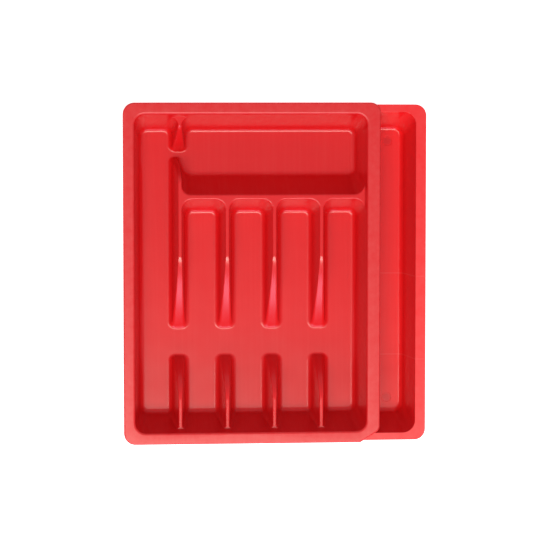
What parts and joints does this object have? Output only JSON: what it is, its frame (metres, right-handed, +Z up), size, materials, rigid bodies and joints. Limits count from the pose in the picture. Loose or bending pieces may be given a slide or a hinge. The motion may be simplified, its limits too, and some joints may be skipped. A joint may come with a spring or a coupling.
{
  "type": "extendable cutlery tray",
  "caption": "Extendable cutlery tray for a kitchen drawer: a moulded tray with compartments slides sideways over a plain lower tray to fill the drawer's width.",
  "frame": {"origin": "centre of the bounding box's bottom, on the drawer's floor, with the tray drawn out 52 mm", "axes": "+Z up, +Y towards the back of the drawer, +X to the right; the upper tray slides out along -X"},
  "size_m": [0.342, 0.385, 0.062],
  "materials": {
    "red_polypropylene": "satin moulded polypropylene",
    "foot_pad": "matt thermoplastic elastomer"
  },
  "bodies": {
    "lower": {"lower_tray": "red_polypropylene", "foot_front_left": "foot_pad", "foot_front_right": "foot_pad", "foot_back_left": "foot_pad", "foot_back_right": "foot_pad"},
    "upper": {"upper_tray": "red_polypropylene"}
  },
  "joints": [
    {"name": "tray_slide", "type": "slide", "parent": "lower", "child": "upper", "axis": [-1, 0, 0], "range_m": [-0.052, 0.1509]}
  ]
}
